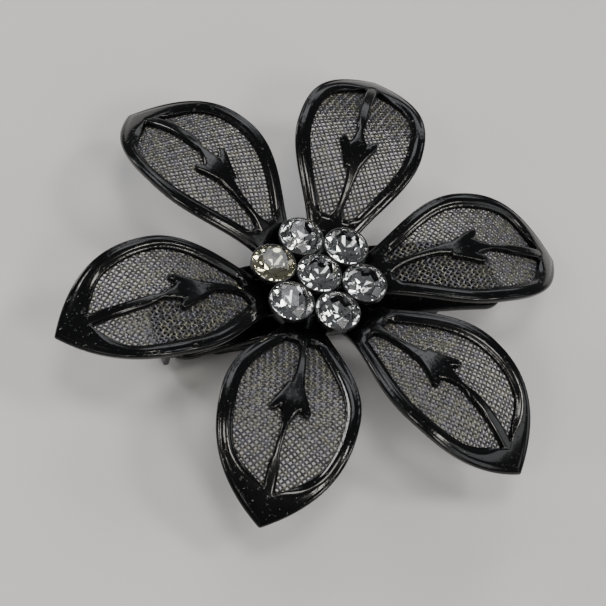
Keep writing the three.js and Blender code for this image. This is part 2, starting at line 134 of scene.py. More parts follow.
# ---- shells ----
def grid_faces(rows, columns, round_rows=False, round_columns=False):
    """Quads between neighbours of a rows x columns table of points; a round side joins its end to
    its start."""
    row = np.arange(rows if round_rows else rows - 1)[:, None]
    column = np.arange(columns if round_columns else columns - 1)[None, :]
    next_row = (row + 1) % rows
    next_column = (column + 1) % columns
    corners = (
        row * columns + column,
        row * columns + next_column,
        next_row * columns + next_column,
        next_row * columns + column,
    )
    return np.stack(np.broadcast_arrays(*corners), -1).reshape(-1, 4)


def unit(vectors, least=0.0):
    """The vectors at length 1; least keeps one that has no length from a division by nought."""
    return vectors / (np.linalg.norm(vectors, axis=-1, keepdims=True) + least)


def circle(a, b, radius, sides):
    """Points at even angles round a circle about (a, b)."""
    angle = np.linspace(0, 2 * math.pi, sides, endpoint=False)
    return np.stack([a + radius * np.cos(angle), b + radius * np.sin(angle)], 1)


def quadratic(start, middle, end, t):
    """Points at t of the parabola that leaves start towards middle and arrives at end."""
    return (1 - t) ** 2 * start + 2 * t * (1 - t) * middle + t**2 * end


def smooth_step(share):
    """The share held between 0 and 1 and eased at both ends: 3 of its square less 2 of its cube."""
    held = np.clip(share, 0, 1)
    return held * held * (3 - 2 * held)


def tube(table):
    """Shell of a table of closed sections (stations x around x 3), with a flat cap on each end."""
    stations, around = table.shape[:2]
    faces = grid_faces(stations, around, round_columns=True).tolist()
    faces.append(list(range(around))[::-1])
    faces.append(list(range((stations - 1) * around, stations * around)))
    return table.reshape(-1, 3), faces


def joined(shells):
    """One table of points and one list of faces from several shells."""
    points, faces, start = [], [], 0
    for shell_points, shell_faces in shells:
        points.append(shell_points)
        faces += [[start + corner for corner in face] for face in shell_faces]
        start += len(shell_points)
    return np.concatenate(points), faces


HALF_SIDE = 0.49


def eased(corners, radius, steps=5):
    """A closed outline with every corner rounded: each is swapped for the parabola that starts and
    ends radius away along its two sides, or just short of half a side away where that is less."""
    corners = np.asarray(corners, float)
    before = np.roll(corners, 1, 0) - corners
    after = np.roll(corners, -1, 0) - corners
    length_before = np.linalg.norm(before, axis=1, keepdims=True)
    length_after = np.linalg.norm(after, axis=1, keepdims=True)
    start = corners + before / length_before * np.minimum(radius, HALF_SIDE * length_before)
    end = corners + after / length_after * np.minimum(radius, HALF_SIDE * length_after)
    t = np.linspace(0, 1, steps)[None, :, None]
    curve = quadratic(start[:, None], corners[:, None], end[:, None], t)
    return curve.reshape(-1, corners.shape[1])


def spun(line, sides):
    """Points of a (radius, height) line turned about +Z, one row of sides points for each of its own."""
    angle = np.linspace(0, 2 * math.pi, sides, endpoint=False)
    radius, height = line[:, :1], line[:, 1:]
    table = [radius * np.cos(angle), radius * np.sin(angle), np.repeat(height, sides, 1)]
    return np.stack(table, -1).reshape(-1, 3)


def turned(profile, sides, edge):
    """Shell made by turning a (radius, height) profile, which runs from the axis round to the axis,
    about +Z; its corners off the axis are eased by edge."""
    profile = np.asarray(profile, float)
    body = eased(profile, edge)
    per = len(body) // len(profile)
    line = np.concatenate([profile[:1], body[per:-per], profile[-1:]])
    return spun(line, sides), grid_faces(len(line), sides, round_columns=True).tolist()


def turned_ring(profile, sides, edge):
    """Shell made by turning a closed (radius, height) profile that stays off the axis."""
    line = eased(profile, edge)
    return spun(line, sides), grid_faces(len(line), sides, True, True).tolist()


def slab(outline, low, high, edge, place):
    """Shell of a flat blank: the closed outline at height low, drawn in by edge and eased over a
    quarter circle at both faces. place(a, b, height) puts it in the clip's axes."""
    outline = np.asarray(outline, float)
    following = np.roll(outline, -1, 0)
    area = np.sum(outline[:, 0] * following[:, 1] - outline[:, 1] * following[:, 0])
    along = unit(following - np.roll(outline, 1, 0), 1e-12)
    inward = np.stack([-along[:, 1], along[:, 0]], 1) * np.sign(area)
    quarter = np.linspace(0, math.pi / 2, 4)
    draw = edge * (1 - np.sin(quarter))
    rise = edge * (1 - np.cos(quarter))
    draws = np.concatenate([draw, draw[::-1]])
    heights = np.concatenate([low + rise, high - rise[::-1]])
    flat = outline[None] + inward[None] * draws[:, None, None]
    table = place(flat[..., 0], flat[..., 1], np.repeat(heights[:, None], len(outline), 1))
    return tube(table)


def upright(a, b, height):
    """A slab's outline in XZ, with its height along Y."""
    return np.stack([a, height, b], -1)


def lying(a, b, height):
    """A slab's outline in XY, with its height along Z."""
    return np.stack([a, b, height], -1)


def rounded_bar(half_width, half_thick, edge, count=6):
    """Closed section of a strip: (across, above) points of a rectangle with quarter-circle corners."""
    quarter = np.linspace(0, math.pi / 2, count)
    corners = []
    for turn, (sign_a, sign_b) in enumerate([(1, 1), (-1, 1), (-1, -1), (1, -1)]):
        angle = quarter + turn * math.pi / 2
        across = sign_a * (half_width - edge) + edge * np.cos(angle)
        above = sign_b * (half_thick - edge) + edge * np.sin(angle)
        corners.append(np.stack([across, above], 1))
    return np.concatenate(corners)


def strip(path, half_widths, half_thick, edge):
    """Shell of a strip bent in XZ: a rounded bar section carried along path, (x, z) points, square to
    it, and as wide at each point as half_widths says."""
    along = unit(np.gradient(path, axis=0))
    section = rounded_bar(1.0 + edge, half_thick, edge)
    side = np.sign(section[:, 0])
    across = section[:, 0] - side
    table = np.empty((len(path), len(section), 3))
    table[..., 0] = path[:, None, 0] - along[:, None, 1] * section[None, :, 1]
    table[..., 1] = (half_widths[:, None] - edge) * side + across
    table[..., 2] = path[:, None, 1] + along[:, None, 0] * section[None, :, 1]
    return tube(table)


# ---- making pieces ----
WELD = 2e-4


def mesh_of(name, shell):
    """A Blender mesh of a shell, its doubled points merged and its faces turned outwards."""
    points, faces = shell
    mesh = bpy.data.meshes.new(name)
    mesh.from_pydata(points.tolist(), [], faces)
    form = bmesh.new()
    form.from_mesh(mesh)
    bmesh.ops.remove_doubles(form, verts=form.verts, dist=WELD)
    bmesh.ops.recalc_face_normals(form, faces=form.faces)
    form.to_mesh(mesh)
    form.free()
    return mesh


def bake(piece):
    """Gives the piece the mesh that its modifiers make, and takes them off."""
    bpy.context.view_layer.update()
    graph = bpy.context.evaluated_depsgraph_get()
    mesh = bpy.data.meshes.new_from_object(piece.evaluated_get(graph))
    piece.modifiers.clear()
    piece.data = mesh


def bore(piece, cutters):
    """Cuts the cutters' shells out of the piece."""
    for number, cutter in enumerate(cutters):
        tool = bpy.data.objects.new(f"cutter_{number}", mesh_of(f"cutter_{number}", cutter))
        bpy.context.scene.collection.objects.link(tool)
        cut = piece.modifiers.new("cut", "BOOLEAN")
        cut.operation = "DIFFERENCE"
        cut.object = tool
        cut.solver = "EXACT"
        cut.use_self = True
        bake(piece)
        bpy.data.objects.remove(tool)


def fuse(piece, grain, passes):
    """Runs the piece's shells together into one skin on a grid of grain millimetres, and softens it."""
    skin = piece.modifiers.new("skin", "REMESH")
    skin.mode = "VOXEL"
    skin.voxel_size = grain
    skin.use_smooth_shade = True
    ease = piece.modifiers.new("ease", "SMOOTH")
    ease.factor = 0.5
    ease.iterations = passes
    bake(piece)


def make(name, shells, material, nodes, body="flower_barrette", grain=0.0, passes=3, cutters=(),
         shift=(0, 0, 0), turn=0.0, crease=32.0):
    """A finished piece that stands for CAD nodes: its shells joined, cut, run together where a grain is
    given, turned about +Z, shifted, and scaled to metres. Without a grain, edges past crease degrees
    stay sharp."""
    mesh = mesh_of(name, joined(shells))
    piece = bpy.data.objects.new(name, mesh)
    bpy.context.scene.collection.objects.link(piece)
    if cutters:
        bore(piece, cutters)
    if grain:
        fuse(piece, grain, passes)
    mesh = piece.data
    mesh.name = name
    place = Matrix.Scale(MM, 4) @ Matrix.Translation(shift) @ Matrix.Rotation(math.radians(turn), 4, "Z")
    mesh.transform(place)
    mesh.polygons.foreach_set("use_smooth", np.ones(len(mesh.polygons), bool))
    if not grain:
        mesh.set_sharp_from_angle(angle=math.radians(crease))
    mesh.materials.clear()
    mesh.materials.append(material)
    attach(piece, body)
    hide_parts(*nodes)
    return piece


# ---- node groups ----
def new_group(name, inputs, outputs):
    """A shader node group with named inputs at their defaults, a vector where the default has three
    numbers, and named single values that come out. Returns the group, what comes in, what goes out
    and the place on the piece."""
    group = bpy.data.node_groups.new(name, "ShaderNodeTree")
    for label, default in inputs.items():
        kind = "NodeSocketVector" if isinstance(default, tuple) else "NodeSocketFloat"
        socket = group.interface.new_socket(label, in_out="INPUT", socket_type=kind)
        socket.default_value = default
    for label in outputs:
        group.interface.new_socket(label, in_out="OUTPUT", socket_type="NodeSocketFloat")
    into = group.nodes.new("NodeGroupInput").outputs
    out = group.nodes.new("NodeGroupOutput").inputs
    return group, into, out, place_on_piece(group)


def place_on_piece(tree):
    """The point being shaded, in the piece's own metres."""
    return tree.nodes.new("ShaderNodeTexCoord").outputs["Object"]


def feed(tree, value, socket):
    """Links another node's socket to this one, or sets this one to a plain value."""
    if hasattr(value, "links"):
        tree.links.new(value, socket)
    else:
        socket.default_value = value


def noise(tree, vector, scale, detail=2.0, roughness=0.5):
    """Fractal noise at scale cycles a metre, 0 to 1 about a half."""
    node = tree.nodes.new("ShaderNodeTexNoise")
    node.inputs["Detail"].default_value = detail
    node.inputs["Roughness"].default_value = roughness
    tree.links.new(vector, node.inputs["Vector"])
    feed(tree, scale, node.inputs["Scale"])
    return node.outputs["Fac"]


def remap(tree, value, low, high, to_low=0.0, to_high=1.0):
    """The value, taken from low..high to to_low..to_high and held between them."""
    node = tree.nodes.new("ShaderNodeMapRange")
    for label, number in zip(("From Min", "From Max", "To Min", "To Max"), (low, high, to_low, to_high)):
        feed(tree, number, node.inputs[label])
    tree.links.new(value, node.inputs["Value"])
    return node.outputs["Result"]


def maths(tree, operation, *values):
    """One sum, product or choice of the values, by a Math node's own name for it."""
    node = tree.nodes.new("ShaderNodeMath")
    node.operation = operation
    for number, value in enumerate(values):
        feed(tree, value, node.inputs[number])
    return node.outputs[0]


def mix_colours(tree, amount, first, second):
    """The first colour where the amount is 0, the second where it is 1."""
    node = tree.nodes.new("ShaderNodeMix")
    node.data_type = "RGBA"
    tree.links.new(amount, node.inputs["Factor"])
    for label, colour in (("A", first), ("B", second)):
        socket = next(s for s in node.inputs if s.name == label and s.type == "RGBA")
        feed(tree, (*colour, 1.0) if isinstance(colour, tuple) else colour, socket)
    return next(s for s in node.outputs if s.type == "RGBA")


def poured_enamel_group():
    """Thick enamel as it sets: a long slow swell, fine orange peel, and sparse pits.
    Height is the sum of two noises less the pits; Dull is a mask of hazier patches."""
    group, into, out, place = new_group(
        "poured_enamel", {"Peel Scale": 1400.0, "Swell Scale": 320.0}, ("Height", "Dull")
    )
    peel = noise(group, place, into["Peel Scale"], 1.0)
    swell = noise(group, place, into["Swell Scale"], 1.0)
    pits = remap(group, noise(group, place, 2600.0, 0.0), 0.72, 0.8)
    height = maths(group, "ADD", maths(group, "MULTIPLY", peel, 0.25), swell)
    height = maths(group, "SUBTRACT", height, maths(group, "MULTIPLY", pits, 0.5))
    group.links.new(height, out["Height"])
    group.links.new(remap(group, noise(group, place, 210.0, 3.0), 0.42, 0.72), out["Dull"])
    return group


def settled_dust_group():
    """Dust and lint that lies on what faces up: fine specks from cell noise, thinned by the normal's
    lean from +Z and by slow patches."""
    group, into, out, place = new_group("settled_dust", {"Amount": 0.5, "Speck Scale": 2200.0}, ("Mask",))
    cells = group.nodes.new("ShaderNodeTexVoronoi")
    group.links.new(place, cells.inputs["Vector"])
    group.links.new(into["Speck Scale"], cells.inputs["Scale"])
    specks = remap(group, cells.outputs["Distance"], 0.16, 0.05)
    patches = remap(group, noise(group, place, 260.0, 2.0), 0.45, 0.75)
    facing = group.nodes.new("ShaderNodeSeparateXYZ")
    group.links.new(group.nodes.new("ShaderNodeNewGeometry").outputs["Normal"], facing.inputs[0])
    up = remap(group, facing.outputs["Z"], 0.2, 0.9)
    mask = maths(group, "MULTIPLY", maths(group, "MULTIPLY", specks, patches), up)
    group.links.new(maths(group, "MULTIPLY", mask, into["Amount"]), out["Mask"])
    return group


def rubbed_edges_group():
    """Bright wear where the surface bulges: the bulge measure past a threshold, broken by noise."""
    group, into, out, place = new_group("rubbed_edges", {"From": 0.53, "To": 0.6, "Amount": 0.5}, ("Mask",))
    bulge = group.nodes.new("ShaderNodeNewGeometry").outputs["Pointiness"]
    edge = remap(group, bulge, into["From"], into["To"])
    broken = remap(group, noise(group, place, 900.0, 4.0, 0.65), 0.42, 0.62)
    mask = maths(group, "MULTIPLY", maths(group, "MULTIPLY", edge, broken), into["Amount"])
    group.links.new(mask, out["Mask"])
    return group


def rolled_grain_group():
    """Rolling or turning lines: noise stretched along one axis by Stretch, as a height and a mask."""
    group, into, out, place = new_group(
        "rolled_grain", {"Stretch": (60.0, 3500.0, 3500.0)}, ("Height", "Smear")
    )
    scale = group.nodes.new("ShaderNodeVectorMath")
    scale.operation = "MULTIPLY"
    group.links.new(place, scale.inputs[0])
    group.links.new(into["Stretch"], scale.inputs[1])
    lines = noise(group, scale.outputs[0], 1.0, 3.0, 0.6)
    group.links.new(lines, out["Height"])
    group.links.new(remap(group, noise(group, place, 180.0, 3.0), 0.4, 0.7), out["Smear"])
    return group


POURED_ENAMEL = poured_enamel_group()
SETTLED_DUST = settled_dust_group()
RUBBED_EDGES = rubbed_edges_group()
ROLLED_GRAIN = rolled_grain_group()


def effect(tree, group, **values):
    """Places a node group in a material with its own values, and returns what comes out; Peel_Scale
    stands for the socket Peel Scale."""
    node = tree.nodes.new("ShaderNodeGroup")
    node.node_tree = group
    for label, value in values.items():
        node.inputs[label.replace("_", " ")].default_value = value
    return node.outputs


# ---- materials ----
def new_material(name, **constants):
    """A material with its shader's unchanging values set. Returns it, its tree and a function that
    feeds one of the shader's inputs."""
    material = bpy.data.materials.new(name)
    material.use_nodes = True
    tree = material.node_tree
    inputs = tree.nodes["Principled BSDF"].inputs
    for label, value in constants.items():
        inputs[label.replace("_", " ")].default_value = value

    def shade(label, value):
        """Feeds the shader's input of that name."""
        feed(tree, value, inputs[label])

    return material, tree, shade


def bump(tree, shade, height, strength, distance):
    """Leans the shader's normal as a height does that rises by distance metres from 0 to 1."""
    node = tree.nodes.new("ShaderNodeBump")
    node.inputs["Strength"].default_value = strength
    node.inputs["Distance"].default_value = distance
    tree.links.new(height, node.inputs["Height"])
    shade("Normal", node.outputs["Normal"])


def enamel_material(name, peel, swell, dust, depth):
    """Glossy black enamel: near-black colour that greys under dust, gloss broken by dull patches."""
    material, tree, shade = new_material(name, IOR=1.41)
    set_skin = effect(tree, POURED_ENAMEL, Peel_Scale=peel, Swell_Scale=swell)
    lint = effect(tree, SETTLED_DUST, Amount=dust, Speck_Scale=1900.0)["Mask"]
    colour = mix_colours(tree, lint, (0.0022, 0.0023, 0.0028), (0.1, 0.1, 0.105))
    shade("Base Color", colour)
    gloss = remap(tree, set_skin["Dull"], 0.0, 1.0, 0.12, 0.19)
    shade("Roughness", maths(tree, "ADD", gloss, maths(tree, "MULTIPLY", lint, 0.4)))
    bump(tree, shade, set_skin["Height"], 0.35, depth)
    return material


def gauze_material():
    """Dipped wire: smoky metal with a faint straw or violet cast from wire to wire, black where the dip
    lies thick, glossy enough for each crown of the weave to gleam."""
    material, tree, shade = new_material("dipped_gauze", IOR=1.5)
    place = place_on_piece(tree)
    cast = remap(tree, noise(tree, place, 900.0, 1.0), 0.4, 0.6)
    tint = mix_colours(tree, cast, (0.175, 0.172, 0.142), (0.14, 0.14, 0.17))
    thick = remap(tree, noise(tree, place, 1900.0, 2.0), 0.46, 0.62)
    colour = mix_colours(tree, thick, tint, (0.03, 0.03, 0.032))
    lint = effect(tree, SETTLED_DUST, Amount=0.35, Speck_Scale=1300.0)["Mask"]
    shade("Base Color", mix_colours(tree, lint, colour, (0.25, 0.25, 0.25)))
    shade("Metallic", remap(tree, thick, 0.0, 1.0, 0.85, 0.2))
    shade("Roughness", remap(tree, noise(tree, place, 700.0, 2.0), 0.3, 0.7, 0.24, 0.42))
    bump(tree, shade, noise(tree, place, 4200.0, 2.0), 0.25, 0.00003)
    return material


def cup_material():
    """Black plating on the cups, worn to grey metal round the rim."""
    material, tree, shade = new_material("cup_plating", IOR=1.6)
    worn = effect(tree, RUBBED_EDGES, From=0.52, To=0.6, Amount=0.6)["Mask"]
    shade("Base Color", mix_colours(tree, worn, (0.008, 0.008, 0.009), (0.28, 0.28, 0.29)))
    shade("Metallic", maths(tree, "MULTIPLY", worn, 0.9))
    turned_lines = effect(tree, ROLLED_GRAIN, Stretch=(900.0, 900.0, 5200.0))
    shade("Roughness", remap(tree, turned_lines["Height"], 0.3, 0.7, 0.2, 0.34))
    bump(tree, shade, turned_lines["Height"], 0.15, 0.00002)
    return material


def crystal_material(name, tint):
    """Cut glass: plain clear refraction, with a trace of polishing haze in its gloss."""
    material, tree, shade = new_material(
        name, Metallic=0.0, Transmission_Weight=1.0, IOR=1.6, Base_Color=(*tint, 1.0)
    )
    haze = noise(tree, place_on_piece(tree), 800.0, 3.0)
    shade("Roughness", remap(tree, haze, 0.5, 0.75, 0.0, 0.02))
    return material


def foil_material(name, tint):
    """Silver foil on a stone's back, slightly smoked in patches."""
    material, tree, shade = new_material(name, Metallic=1.0)
    smoked = remap(tree, noise(tree, place_on_piece(tree), 520.0, 2.0), 0.4, 0.7)
    dark = tuple(0.7 * part for part in tint)
    shade("Base Color", mix_colours(tree, smoked, tint, dark))
    shade("Roughness", remap(tree, smoked, 0.0, 1.0, 0.01, 0.05))
    return material


def metal_material(name, bright, dark, gloss, metallic, stretch, rubbed, dust):
    """Stamped or turned metal: grain along stretch, smears between bright and dark, rubbed edges."""
    material, tree, shade = new_material(name, IOR=1.5)
    grain = effect(tree, ROLLED_GRAIN, Stretch=stretch)
    worn = effect(tree, RUBBED_EDGES, From=0.515, To=0.58, Amount=rubbed)["Mask"]
    lint = effect(tree, SETTLED_DUST, Amount=dust, Speck_Scale=1700.0)["Mask"]
    colour = mix_colours(tree, grain["Smear"], bright, dark)
    colour = mix_colours(tree, worn, colour, (0.5, 0.5, 0.51))
    shade("Base Color", mix_colours(tree, lint, colour, (0.3, 0.3, 0.3)))
    shade("Metallic", maths(tree, "MAXIMUM", worn, metallic))
    rough = remap(tree, grain["Height"], 0.25, 0.75, gloss, gloss + 0.16)
    shade("Roughness", maths(tree, "ADD", rough, maths(tree, "MULTIPLY", lint, 0.3)))
    bump(tree, shade, grain["Height"], 0.2, 0.00003)
    return material


ENAMEL = enamel_material("petal_enamel", 1500.0, 260.0, 0.5, 0.00012)
PLATE_ENAMEL = enamel_material("plate_enamel", 1200.0, 200.0, 0.35, 0.0001)
GAUZE = gauze_material()
CUP_BLACK = cup_material()
CRYSTAL = crystal_material("stone_glass", (0.97, 0.98, 0.98))
FOIL = foil_material("stone_foil", (0.9, 0.91, 0.92))
STRAW_CRYSTAL = crystal_material("stone_glass_straw", (0.98, 0.975, 0.93))
STRAW_FOIL = foil_material("stone_foil_straw", (0.92, 0.9, 0.76))
BLACK_STEEL = metal_material("lacquered_steel", (0.012, 0.012, 0.013), (0.02, 0.02, 0.021),
                             0.24, 0.1, (90.0, 2600.0, 2600.0), 0.5, 0.4)
SPRING_STEEL = metal_material("blued_spring_steel", (0.12, 0.12, 0.13), (0.07, 0.07, 0.08),
                              0.26, 0.85, (70.0, 4200.0, 4200.0), 0.6, 0.2)
BARE_STEEL = metal_material("bright_steel", (0.56, 0.56, 0.57), (0.38, 0.38, 0.4),
                            0.22, 1.0, (2500.0, 2500.0, 300.0), 0.2, 0.2)


# ---- stones and cups ----
STAR_SHARE = 0.81
FORK_SHARE = 0.66


def ring(radius, angles, height):
    """Points at the given angles on a level circle about the axis."""
    return np.stack([radius * np.cos(angles), radius * np.sin(angles), np.full(len(angles), height)], 1)


def brilliant():
    """Cut stone about its own axis, girdle plane at 0: an eight-sided table, eight kite facets down to
    the girdle with stars and sixteen girdle facets between them, and the same below without a table.
    A kite lies in one plane, so its outer corner's height follows from its distance along the plane."""
    eighth = np.radians(45.0 * np.arange(8))
    sixteenth = np.radians(22.5 * np.arange(16))
    half_eighth = math.radians(22.5)
    girdle_half = STONE_GIRDLE / 2
    slope = (STONE_CROWN - girdle_half) / (STONE_R - STONE_TABLE_R)
    star_r = STAR_SHARE * STONE_R
    star_z = girdle_half + (STONE_R - star_r * math.cos(half_eighth)) * slope
    depth = (STONE_PAVILION - girdle_half) / STONE_R
    fork_r = FORK_SHARE * STONE_R
    fork_z = -girdle_half - (STONE_R - fork_r * math.cos(half_eighth)) * depth
    points = np.concatenate(
        [
            ring(STONE_TABLE_R, eighth, STONE_CROWN),
            ring(star_r, eighth + half_eighth, star_z),
            ring(STONE_R, sixteenth, girdle_half),
            ring(STONE_R, sixteenth, -girdle_half),
            ring(fork_r, eighth + half_eighth, fork_z),
            [(0.0, 0.0, -STONE_PAVILION)],
        ]
    )
    table, star, upper, lower, fork, point = 0, 8, 16, 32, 48, 56
    faces = [list(range(8))]
    for k in range(8):
        after, before = (k + 1) % 8, (k - 1) % 8
        left, middle, right = 2 * k, 2 * k + 1, (2 * k + 2) % 16
        faces += [
            [table + k, star + before, upper + left, star + k],
            [table + k, star + k, table + after],
            [star + k, upper + left, upper + middle],
            [star + k, upper + middle, upper + right],
            [upper + left, lower + left, lower + middle, upper + middle],
            [upper + middle, lower + middle, lower + right, upper + right],
            [point, fork + k, lower + left, fork + before],
            [fork + k, lower + middle, lower + left],
            [fork + k, lower + right, lower + middle],
        ]
    return points, faces


def cup_shell():
    """Cup about its stone's axis, girdle plane at 0: a flat foot, a cone out to a straight collar, a
    thin rounded lip, and the cone of the seat inside."""
    foot = CUP_FOOT_Z - GIRDLE_Z
    inner = CUP_R - CUP_WALL
    profile = [
        (0.0, foot), (CUP_FOOT_R, foot), (CUP_R, -CUP_COLLAR), (CUP_R, CUP_LIP), (inner, CUP_LIP),
        (inner, -STONE_GIRDLE / 2 - SEAT_GAP), (CUP_SEAT_END_R, foot + CUP_FLOOR),
        (0.0, foot + CUP_FLOOR),
    ]
    return turned(profile, 72, 0.05)


def set_stone(label, x, y, turn, glass, foil):
    """One stone in its cup at (x, y), its cut turned by turn degrees: glass above, and foil on every
    face whose middle lies more than a girdle's height below the girdle plane."""
    make(f"black_cup_{label}", [cup_shell()], CUP_BLACK, [f"stone_cup_{label}"],
         shift=(x, y, GIRDLE_Z))
    stone = make(f"cut_stone_{label}", [brilliant()], glass, [f"rhinestone_{label}"],
                 shift=(x, y, GIRDLE_Z), turn=turn, crease=2.0)
    stone.data.materials.append(foil)
    centres = np.empty(len(stone.data.polygons) * 3)
    stone.data.polygons.foreach_get("center", centres)
    backed = centres.reshape(-1, 3)[:, 2] < GIRDLE_Z * MM - STONE_GIRDLE * MM
    stone.data.polygons.foreach_set("material_index", backed.astype(np.int32))


CENTRE_TURN = 12.0
STONE_TURNS = [8.0, 31.0, 15.0, 2.0, 38.0, 22.0]
STRAW_STONE = 3


def set_stones():
    """The middle stone and six round it, sixty degrees apart on a circle."""
    set_stone("centre", 0.0, 0.0, CENTRE_TURN, CRYSTAL, FOIL)
    for k, turn in enumerate(STONE_TURNS):
        angle = math.radians(STONE_TURN + 60.0 * k)
        glass, foil = (STRAW_CRYSTAL, STRAW_FOIL) if k + 1 == STRAW_STONE else (CRYSTAL, FOIL)
        set_stone(str(k + 1), RING_R * math.cos(angle), RING_R * math.sin(angle), turn, glass, foil)


# ---- petals ----
def bezier(corners, count):
    """Points of a cubic Bezier curve at even steps of its parameter."""
    t = np.linspace(0, 1, count)[:, None]
    a, b, c, d = np.asarray(corners, float)
    return (1 - t) ** 3 * a + 3 * t * (1 - t) ** 2 * b + 3 * t**2 * (1 - t) * c + t**3 * d


def run_of(line):
    """Distance along a line of points from its first to each."""
    return np.concatenate([[0], np.cumsum(np.linalg.norm(np.diff(line, axis=0), axis=1))])


# corners of the arch's cubic, as shares of the petal's length
PETAL_ARCH = [(0, 0), (0.42, 0.27), (0.75, 0.124), (0.918, -0.039)]


def blade(lift):
    """A petal's middle line: a cubic in (reach, height), turned up about its root by lift. Returns the
    function that takes (along, across, above) to the petal's own axes, +X outwards."""
    turn = math.radians(lift)
    spin = np.array([[math.cos(turn), math.sin(turn)], [-math.sin(turn), math.cos(turn)]])
    corners = np.array(PETAL_ARCH) * PETAL_LENGTH
    line = bezier(corners @ spin + (PETAL_ROOT_RHO, GIRDLE_Z - PETAL_SINK), 600)
    run = run_of(line)
    tangent = unit(np.gradient(line, run, axis=0))

    def place(along, across, above):
        """The point above the line's own at a distance along it; past an end the line runs straight."""
        held = np.clip(along, 0, run[-1])
        over = along - held
        tx = np.interp(held, run, tangent[:, 0])
        tz = np.interp(held, run, tangent[:, 1])
        x = np.interp(held, run, line[:, 0]) + tx * over - tz * above
        z = np.interp(held, run, line[:, 1]) + tz * over + tx * above
        return np.stack([x, across + 0 * x, z], -1)

    return place


# how far along, and how wide, the inner corners of the outline's two cubics lie
ROOT_PULL, ROOT_FLARE, BELLY_PULL = 0.33, 1.6, 0.62
BELLY_PUSH, TIP_PULL, TIP_SHARE = 0.32, 0.66, 0.9


def half_outline(count=90):
    """Half the petal's outline as (along, half-width), root to tip: two cubics that meet at the belly."""
    belly = (PETAL_BELLY_AT, PETAL_BELLY_HALF)
    rest = PETAL_LENGTH - PETAL_BELLY_AT
    rising = [
        (0.0, PETAL_ROOT_HALF), (PETAL_BELLY_AT * ROOT_PULL, PETAL_ROOT_HALF + ROOT_FLARE),
        (PETAL_BELLY_AT * BELLY_PULL, PETAL_BELLY_HALF), belly,
    ]
    closing = [
        belly, (PETAL_BELLY_AT + rest * BELLY_PUSH, PETAL_BELLY_HALF),
        (PETAL_BELLY_AT + rest * TIP_PULL, PETAL_BELLY_HALF * TIP_SHARE), (PETAL_LENGTH, 0.0),
    ]
    return np.concatenate([bezier(rising, count), bezier(closing, count)[1:]])


HALF_OUTLINE = half_outline()


def whole_outline(spacing=0.22):
    """The closed outline, one side to the tip, the other back and the root edge, evenly spaced."""
    side = HALF_OUTLINE
    back = side[::-1] * (1, -1)
    loop = np.concatenate([side, back[1:], side[:1]])
    run = run_of(loop)
    even = np.linspace(0, run[-1], int(run[-1] / spacing), endpoint=False)
    return np.stack([np.interp(even, run, loop[:, 0]), np.interp(even, run, loop[:, 1])], 1)


OUTLINE = whole_outline()


def distance_to_outline(points):
    """Least distance from each (along, across) point to the outline's own points."""
    flat = points.reshape(-1, 2)
    gaps = np.linalg.norm(flat[:, None, :] - OUTLINE[None, :, :], axis=2)
    return gaps.min(1).reshape(points.shape[:-1])


def half_ellipse(inward, base, rise, middle, reach):
    """Base, and over reach to either side of middle the upper half of an ellipse that rises from it."""
    return base + rise * np.sqrt(np.clip(1 - ((inward - middle) / reach) ** 2, 0, None))


def rim_height(inward):
    """Height of the rim's face over the blade's middle: an outer bead and a broader swell inside it,
    each half an ellipse in the distance inward, and whichever is higher shows."""
    bead = half_ellipse(inward, base=0.10, rise=0.34, middle=0.30, reach=0.31)
    swell = half_ellipse(inward, base=-0.14, rise=0.62, middle=RIM_CROWN, reach=0.86)
    return np.maximum(bead, swell)


RIM_STEPS = 20
ROOT_FILL_END, ROOT_FILL_RUN = WINDOW_START + 0.7, 1.2
TIP_FILL, TIP_FILL_RUN = 6.5, 3.0
TIP_GROWTH_FROM, TIP_GROWTH_RUN = 0.74 * PETAL_LENGTH, 0.2 * PETAL_LENGTH
WALL_DRAFT, WALL_FADE = 0.08, 0.1


def rim_shell(place, unevenness):
    """The raised border: for each outline point, a section that crosses the bead and the swell from
    the outer edge, drops inside and comes back below. Its width wanders by unevenness, as one slow
    sine and half a quicker one, and grows towards the tip. Near the root and the tip the face stays
    level with the swell's crown, so both are solid."""
    along = unit(np.roll(OUTLINE, -1, 0) - np.roll(OUTLINE, 1, 0))
    inward = np.stack([along[:, 1], -along[:, 0]], 1)
    count = len(OUTLINE)
    phase = np.arange(count) / count * 2 * math.pi
    slow = np.sin(2 * phase + 90 * unevenness)
    quick = np.sin(5 * phase + 400 * unevenness)
    wander = 1 + unevenness * (slow + 0.5 * quick)
    wander += RIM_TIP_GROWTH * smooth_step((OUTLINE[:, 0] - TIP_GROWTH_FROM) / TIP_GROWTH_RUN)
    over = np.linspace(0.0, RIM_WIDTH, RIM_STEPS)
    reach = over[None, :] * wander[:, None]
    flat = OUTLINE[:, None, :] + inward[:, None, :] * reach[..., None]
    side = np.sign(OUTLINE[:, 1] + 1e-9)[:, None]
    flat[..., 1] = side * np.maximum(flat[..., 1] * side, 0)
    depth = distance_to_outline(flat) / wander[:, None]
    root = smooth_step((ROOT_FILL_END - flat[..., 0]) / ROOT_FILL_RUN)
    tip = smooth_step((flat[..., 0] - PETAL_LENGTH + TIP_FILL) / TIP_FILL_RUN)
    depth = depth + (np.minimum(depth, RIM_CROWN) - depth) * np.maximum(root, tip)
    top = np.minimum(rim_height(depth), PETAL_HALF_THICK)
    section_flat = np.concatenate([flat, flat[:, ::-1]], 1)
    section_height = np.concatenate([top, np.full_like(top, -PETAL_HALF_THICK)], 1)
    inset = np.concatenate([np.zeros(RIM_STEPS), WALL_DRAFT * np.exp(-over[::-1] / WALL_FADE)])
    section_flat += inward[:, None, :] * inset[None, :, None]
    table = place(section_flat[..., 0], section_flat[..., 1], section_height)
    return table.reshape(-1, 3), grid_faces(count, 2 * RIM_STEPS, True, True).tolist()


